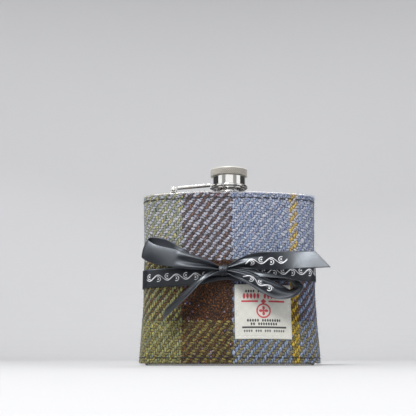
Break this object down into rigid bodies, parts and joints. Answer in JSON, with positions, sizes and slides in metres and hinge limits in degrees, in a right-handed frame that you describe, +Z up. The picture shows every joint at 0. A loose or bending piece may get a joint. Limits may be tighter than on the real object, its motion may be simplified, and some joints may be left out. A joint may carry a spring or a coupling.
{
  "type": "hip flask",
  "caption": "Curved steel pocket flask with a hinged captive screw cap, a stitched tweed plaid sleeve with a woven label, and a satin ribbon bow tied round it.",
  "frame": {"origin": "middle of the base, on the surface that the flask stands on", "axes": "+Z up through the neck, -Y out of the convex front with the label, +X to the right seen from the front"},
  "size_m": [0.1044, 0.0422, 0.1098],
  "materials": {
    "polished_steel": "mirror polished stainless steel",
    "knurled_steel": "satin, diamond knurled rim",
    "seal": "smooth white food-grade polymer",
    "tweed": "heathered wool tweed in 2/2 twill, blue, brown, green and yellow plaid",
    "lining": "dark felt backing",
    "black_thread": "twisted sewing thread",
    "white_thread": "twisted sewing thread",
    "woven_label": "damask woven label, red and black figure on off-white",
    "satin_ribbon": "black satin ribbon"
  },
  "bodies": {
    "flask": {"base_plate": "polished_steel", "body_wall": "polished_steel", "shoulder_plate": "polished_steel", "neck": "polished_steel", "hinge_bracket": "polished_steel", "hinge_pin": "polished_steel", "sleeve_tweed": "tweed", "sleeve_lining": "lining", "top_stitch_thread": "black_thread", "bottom_stitch_thread": "black_thread", "back_seam_thread": "black_thread", "woven_label": "woven_label", "label_stitch_thread": "white_thread", "ribbon_band": "satin_ribbon", "ribbon_knot": "satin_ribbon", "ribbon_loop_left": "satin_ribbon", "ribbon_loop_right": "satin_ribbon", "ribbon_tail_right": "satin_ribbon", "ribbon_tail_left": "satin_ribbon"},
    "arm": {"captive_arm": "polished_steel"},
    "cap": {"cap_head": "knurled_steel", "cap_ferrule": "polished_steel", "cap_thread_insert": "polished_steel", "cap_seal": "seal"}
  },
  "joints": [
    {"name": "arm_swing", "type": "hinge", "parent": "flask", "child": "arm", "pos_m": [-0.0316, 0, 0.09788], "axis": [0, -1, 0], "range_deg": [0, 160]},
    {"name": "cap_spin", "type": "hinge", "parent": "arm", "child": "cap", "pos_m": [0, 0, 0.0985], "axis": [0, 0, 1], "continuous": true}
  ]
}
